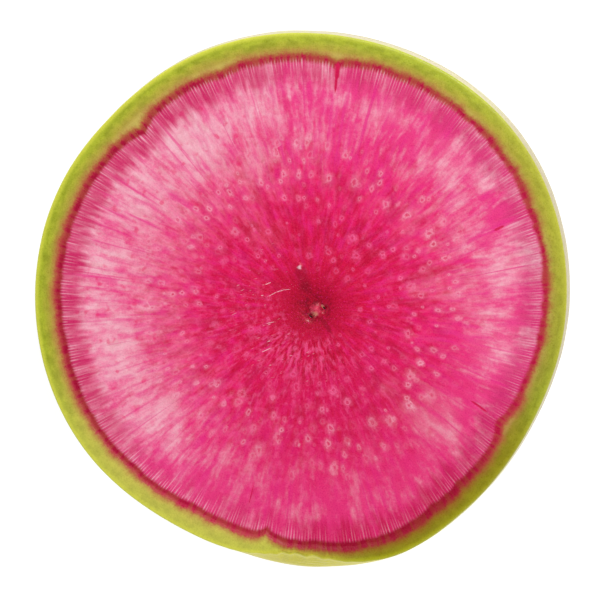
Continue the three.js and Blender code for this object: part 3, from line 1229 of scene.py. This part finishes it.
def add_ring(sheet, at, look, flesh, rind):
    """Crimson ring between flesh and rind: a dark inner line, then crimson that fades out through brown."""
    right = at.side(12, 0.5, 0.97)
    above = at.side(90, 0.1, 0.9)
    solid = at.side(270, 0.6, 0.95)
    rust = at.side(291, 0.8, 0.99)
    speckle = sheet.step(sheet.noise(at.position, 3.4, 2.0), 0.3, 0.7, -0.3, 0.3)
    ragged = sheet.step(at.streaks(90.0, 0.9, 7.0), 0.3, 0.7, -0.06, 0.06)
    ragged = sheet.scale_add(speckle, sheet.scale_add(above, 0.15, 0.3), ragged)
    swell = sheet.step(at.streaks(11.0, 0.0, 19.0, 3.0), 0.35, 0.65)
    thin = sheet.times(right, sheet.math("SUBTRACT", 1.0, swell))
    width = sheet.scale_add(rust, 0.45, sheet.step(swell, 0.0, 1.0, 0.85, 1.1))
    width = sheet.scale_add(thin, -0.25, width)
    width = sheet.scale_add(at.side(333, 0.97, 0.997), 0.22, width)
    reach = sheet.math("DIVIDE", sheet.math("ADD", at.ring, ragged), width)

    rind = sheet.tint(rind, look.rind_pale, sheet.step(at.ring, 0.3, 1.6, 0.4, 0.0), thin)
    fading = sheet.mix(rust, look.ring_red, look.ring_rust)
    ring = sheet.mix(sheet.step(reach, 0.1, 1.6), fading, rind)
    gaps = sheet.scale_add(above, -0.25, 0.55)
    dash = sheet.step(at.streaks(46.0, 0.0, 17.0, 3.0), 0.42, 0.6, gaps, 1.0)
    core = sheet.step(reach, sheet.times(solid, 0.32), 0.85, 1.0, 0.0)
    dark = sheet.times(at.side(165, 0.4, 0.9), 0.3)
    dark = sheet.math("MAXIMUM", dark, sheet.times(rust, 0.7))
    ring = sheet.tint(ring, sheet.mix(dark, look.ring_soft, look.ring_crimson), core, dash)
    line = sheet.step(sheet.math("ABSOLUTE", sheet.math("ADD", reach, 0.2)), 0.05, 0.55, 1.0, 0.0)
    weight = sheet.step(at.side(200, -0.5, 0.6), 0.0, 1.0, 0.25, 0.45)
    weight = sheet.scale_add(solid, -0.15, weight)
    weight = sheet.scale_add(rust, 0.25, weight)
    ring = sheet.tint(ring, look.ring_crimson, line, weight, dash)
    edge = sheet.scale_add(ragged, 0.6, sheet.scale_add(thin, -0.3, at.ring))
    return sheet.mix(sheet.step(edge, -0.95, -0.3), flesh, ring)


def finish_cut_face(sheet, at, groups, colour, rims):
    """The moist surface of the cut, its cell grain in colour, gloss and relief."""
    grain = sheet.group(groups.grain, at.position, CUT_CELL)
    swing = sheet.math("SUBTRACT", grain, 0.5)
    swing = sheet.times(swing, sheet.step(at.fraction, 0.1, 0.5, 0.2, 0.1))
    colour = sheet.shaded(colour, sheet.math("ADD", swing, 1.0))
    roughness = sheet.step(grain, 0.0, 1.0, 0.26, 0.4)
    height = sheet.scale_add(grain, 0.35, rims)
    finish_surface(sheet, colour, roughness, height, 0.03 * MM, IOR=1.34)


def heart_material(look, groups):
    """Inner flesh with the pith, the knife's scratches and painted glints."""
    material, sheet = new_material("radish_heart")
    at = FacePlaces(sheet, groups)
    inner_patches = [patch for patch in PALE_PATCHES if patch[1] - 2 * patch[2] < HEART_RADIUS]
    colour = flesh_colour(sheet, at, look, inner_patches)
    colour = add_dashes(sheet, at, look, colour)
    colour = add_fan(sheet, at, look, colour)
    colour, rims = add_vessels(sheet, at, groups, look, colour)
    colour = add_pith(sheet, at, look, colour)
    colour = add_scratches_and_glints(sheet, at, look, colour)
    finish_cut_face(sheet, at, groups, colour, rims)
    return material


def flesh_material(look, groups):
    """Flesh half way out, between the heart and the rim."""
    material, sheet = new_material("radish_flesh")
    at = FacePlaces(sheet, groups)
    colour = flesh_colour(sheet, at, look, PALE_PATCHES)
    colour = add_dashes(sheet, at, look, colour)
    colour, rims = add_vessels(sheet, at, groups, look, colour)
    colour = add_dots(sheet, at, look, colour)
    colour = add_splits(sheet, at, look, colour)
    finish_cut_face(sheet, at, groups, colour, rims)
    return material


def rim_material(look, groups):
    """Outer flesh, the crimson ring and the rind."""
    material, sheet = new_material("radish_rim")
    at = FacePlaces(sheet, groups)
    colour = flesh_colour(sheet, at, look, PALE_PATCHES)
    colour = add_dots(sheet, at, look, colour)
    colour = add_fringe(sheet, at, look, colour)
    colour = add_ring(sheet, at, look, colour, rind_colour(sheet, at, look))
    colour = add_hairlines(sheet, at, look, colour)
    colour = add_splits(sheet, at, look, colour)
    colour = add_fibres(sheet, at, look, colour)
    finish_cut_face(sheet, at, groups, colour, 0.0)
    return material


def skin_material(look, groups):
    """Pale skin, mottled and greener towards the cut, with short dashes and fine lines round the root, and
    painted shade on its right side.
    """
    material, sheet = new_material("radish_skin")
    local = sheet.put("ShaderNodeTexCoord", output=3)
    position = sheet.vector("SCALE", local, scale=1 / MM)
    grain = sheet.group(groups.grain, position, SKIN_CELL)
    height = sheet.put("ShaderNodeSeparateXYZ", {0: position}, 2)
    round_root = sheet.vector("NORMALIZE", sheet.vector("MULTIPLY", position, (1.0, 1.0, 0.0)))
    drift = sheet.noise(position, 0.15, 3.0)
    swing = sheet.math("SUBTRACT", drift, 0.5)

    def towards(degrees, low, high):
        along = sheet.vector("DOT_PRODUCT", round_root, direction(degrees))
        return sheet.step(sheet.scale_add(swing, 0.12, along), low, high)

    mottle = sheet.step(sheet.noise(position, 0.3, 4.0, 0.6), 0.4, 0.68, 0.0, 0.4)
    colour = sheet.mix(mottle, look.skin_cream, look.skin_green)
    wobble = sheet.noise(sheet.vector("MULTIPLY", position, (0.12, 0.12, 2.4)), 1.0, 3.0)
    lines = sheet.step(wobble, 0.52, 0.68)
    colour = sheet.tint(colour, look.skin_line_and_shade, lines, 0.35)
    dashes = sheet.noise(sheet.vector("MULTIPLY", position, (0.7, 0.7, 4.5)), 1.0, 2.0)
    dashes = sheet.step(dashes, 0.62, 0.72, 0.0, 0.5)
    colour = sheet.mix(dashes, colour, look.skin_line_and_shade)

    level = sheet.scale_add(drift, 1.8, sheet.math("SUBTRACT", height, 5.6))
    belt = sheet.step(sheet.math("ABSOLUTE", level), 0.1, 0.6, 0.8, 0.0)
    belt = sheet.times(belt, towards(40, 0.1, 0.6))
    # Painted shade: the skin on the right side darkened towards the line colour
    right_side_shade = sheet.times(towards(8, 0.7, 0.98), 0.8)
    colour = sheet.mix(sheet.math("MAXIMUM", belt, right_side_shade), colour, look.skin_line_and_shade)
    uneven = sheet.scale_add(swing, 5.0, height)
    shoulder = sheet.times(sheet.step(uneven, 3.6, 8.0, 0.0, 0.7), towards(220, -0.5, 0.4))
    foot = sheet.step(uneven, 0.0, 2.6, 0.5, 0.0)
    corner = sheet.step(height, THICKNESS - 0.3, THICKNESS - 0.05, 0.0, 0.45)
    green = sheet.math("MAXIMUM", sheet.math("MAXIMUM", shoulder, foot), corner)
    colour = sheet.mix(green, colour, look.skin_green)

    leaning = sheet.mix(sheet.step(wobble, 0.54, 0.68, 0.0, 0.8), look.skin_yellow, look.skin_pale)
    strip = sheet.step(uneven, 0.5, 5.0, 0.0, 0.88)
    colour = sheet.tint(colour, leaning, towards(272, 0.78, 0.985), strip)
    colour = sheet.shaded(colour, sheet.step(grain, 0.0, 1.0, 0.94, 1.04))
    roughness = sheet.step(grain, 0.0, 1.0, 0.34, 0.46)
    relief = sheet.scale_add(sheet.math("MAXIMUM", lines, dashes), -0.6, grain)
    finish_surface(sheet, colour, roughness, relief, 0.03 * MM, IOR=1.36)
    return material


def floor_material(stage):
    """Plain pale floor, lit a little from itself."""
    material, sheet = new_material("pale_floor")
    local = sheet.put("ShaderNodeTexCoord", output=3)
    cloud = sheet.noise(local, 6.0, 3.0)
    colour = sheet.shaded(stage.floor_colour, sheet.step(cloud, 0.2, 0.8, 0.985, 1.0))
    roughness = sheet.step(cloud, 0.2, 0.8, 0.7, 0.8)
    finish_surface(
        sheet,
        colour,
        roughness,
        cloud,
        0.1 * MM,
        Emission_Color=(1.0, 1.0, 1.0, 1.0),
        Emission_Strength=0.88,
    )
    return material


class RADISH_OT_slice(bpy.types.Operator):
    """Build the radish slice with its relief and finishes"""

    bl_idname = "radish.slice"
    bl_label = "Radish Slice"

    def execute(self, context):
        shape = context.scene.radish_shape
        look = context.scene.radish_look
        plan = SlicePlan(shape)
        rows = build_rows(plan, shape)
        faces, parts = rows.faces()
        mesh = bpy.data.meshes.new("radish_slice_mesh")
        mesh.from_pydata(rows.points, [], faces)
        groups = shared_groups()
        for finish in (heart_material, flesh_material, rim_material, skin_material):
            mesh.materials.append(finish(look, groups))
        mesh.polygons.foreach_set("material_index", [PARTS.index(part) for part in parts])
        mesh.polygons.foreach_set("use_smooth", [True] * len(faces))
        fields = {
            "rim_depth": rows.rim,
            "ring_offset": rows.ring,
            "flesh_fraction": rows.fraction,
        }
        for name, values in fields.items():
            layer = mesh.attributes.new(name, "FLOAT", "POINT")
            layer.data.foreach_set("value", np.array(values, np.float32))
        bake_layout(mesh, rows)
        if mesh.validate():
            raise RuntimeError("the slice's mesh had faces that are not sound")
        mesh.update()
        piece = bpy.data.objects.new("radish", mesh)
        context.scene.collection.objects.link(piece)
        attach(piece, BODY)
        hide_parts(NODE)
        return {"FINISHED"}


class RADISH_OT_stage(bpy.types.Operator):
    """Set the pale floor, soft light and camera"""

    bl_idname = "radish.stage"
    bl_label = "Stage"

    # Half width of the floor in metres, and its drop below the slice in millimetres
    FLOOR_HALF = 2.0
    FLOOR_DROP = 0.05

    # Place on the cut that the camera faces, in millimetres, and the width of its sensor
    TARGET = (1.03, -0.82)
    SENSOR_WIDTH = 36.0

    # Place and width of each soft light, in metres
    KEY_LIGHT = ((0.22, 0.44, 0.68), 0.4)
    FILL_LIGHT = ((0.4, -0.55, 0.45), 0.6)

    def execute(self, context):
        stage = context.scene.radish_stage
        self.add_floor(context, stage)
        self.add_camera(context, stage)
        self.add_lights(context, stage)
        self.set_world(context)
        context.scene.view_settings.view_transform = "Standard"
        return {"FINISHED"}

    def add_floor(self, context, stage):
        half = self.FLOOR_HALF
        under = -self.FLOOR_DROP * MM
        corners = [(-half, -half, under), (half, -half, under), (half, half, under), (-half, half, under)]
        mesh = bpy.data.meshes.new("floor_mesh")
        mesh.from_pydata(corners, [], [(0, 1, 2, 3)])
        mesh.materials.append(floor_material(stage))
        floor = bpy.data.objects.new("floor", mesh)
        context.scene.collection.objects.link(floor)

    def add_camera(self, context, stage):
        tilt, side = stage.camera_tilt, stage.camera_side
        back = Vector((math.sin(tilt) * math.cos(side), math.sin(tilt) * math.sin(side), math.cos(tilt)))
        right = (-back).cross(Vector((0, 1, 0))).normalized()
        up = right.cross(-back)
        target = Vector((self.TARGET[0], self.TARGET[1], THICKNESS)) * MM
        data = bpy.data.cameras.new("camera")
        data.sensor_width = self.SENSOR_WIDTH
        data.lens = data.sensor_width * stage.camera_distance / stage.picture_width
        data.clip_end = 20.0
        camera = bpy.data.objects.new("camera", data)
        pose = Matrix((right, up, back)).transposed().to_4x4()
        pose.translation = target + back * stage.camera_distance
        camera.matrix_world = pose
        context.scene.collection.objects.link(camera)
        context.scene.camera = camera

    def add_lights(self, context, stage):
        self.add_softbox(context, "key_light", *self.KEY_LIGHT, stage.key_power)
        self.add_softbox(context, "fill_light", *self.FILL_LIGHT, stage.fill_power)

    def add_softbox(self, context, name, place, width, power):
        data = bpy.data.lights.new(name, "AREA")
        data.shape = "DISK"
        data.size = width
        data.energy = power
        light = bpy.data.objects.new(name, data)
        light.location = place
        light.rotation_euler = Vector(place).to_track_quat("Z", "Y").to_euler()
        context.scene.collection.objects.link(light)

    def set_world(self, context):
        """Soft light from all round, dim straight above as in a light tent."""
        world = bpy.data.worlds.new("light_tent")
        world.use_nodes = True
        sheet = NodeSheet(world.node_tree)
        world.node_tree.nodes.clear()
        sky = sheet.put("ShaderNodeTexCoord", output=0)
        rise = sheet.put("ShaderNodeSeparateXYZ", {0: sky}, 2)
        strength = sheet.step(rise, 0.1, 0.85, 1.0, 0.14)
        glow = sheet.put("ShaderNodeBackground", {"Color": (1.0, 1.0, 1.0), "Strength": strength})
        output = world.node_tree.nodes.new("ShaderNodeOutputWorld")
        world.node_tree.links.new(glow, output.inputs["Surface"])
        context.scene.world = world


class RADISH_PT_panel(bpy.types.Panel):
    """Sizes, colours and stage of the radish slice"""

    bl_idname = "RADISH_PT_panel"
    bl_label = "Radish Slice"
    bl_space_type = "VIEW_3D"
    bl_region_type = "UI"
    bl_category = "Radish"

    def draw(self, context):
        layout = self.layout
        for operator in (RADISH_OT_slice, RADISH_OT_stage):
            layout.operator(operator.bl_idname)
        for group in (context.scene.radish_shape, context.scene.radish_look, context.scene.radish_stage):
            box = layout.box()
            for name in group.__annotations__:
                box.prop(group, name)


CLASSES = (RadishShape, RadishLook, RadishStage, RADISH_OT_slice, RADISH_OT_stage, RADISH_PT_panel)


def register():
    for cls in CLASSES:
        bpy.utils.register_class(cls)
    bpy.types.Scene.radish_shape = PointerProperty(type=RadishShape)
    bpy.types.Scene.radish_look = PointerProperty(type=RadishLook)
    bpy.types.Scene.radish_stage = PointerProperty(type=RadishStage)


def unregister():
    del bpy.types.Scene.radish_stage
    del bpy.types.Scene.radish_look
    del bpy.types.Scene.radish_shape
    for cls in reversed(CLASSES):
        bpy.utils.unregister_class(cls)


def main():
    register()
    bpy.ops.radish.slice()
    bpy.ops.radish.stage()


if __name__ == "__main__":
    main()
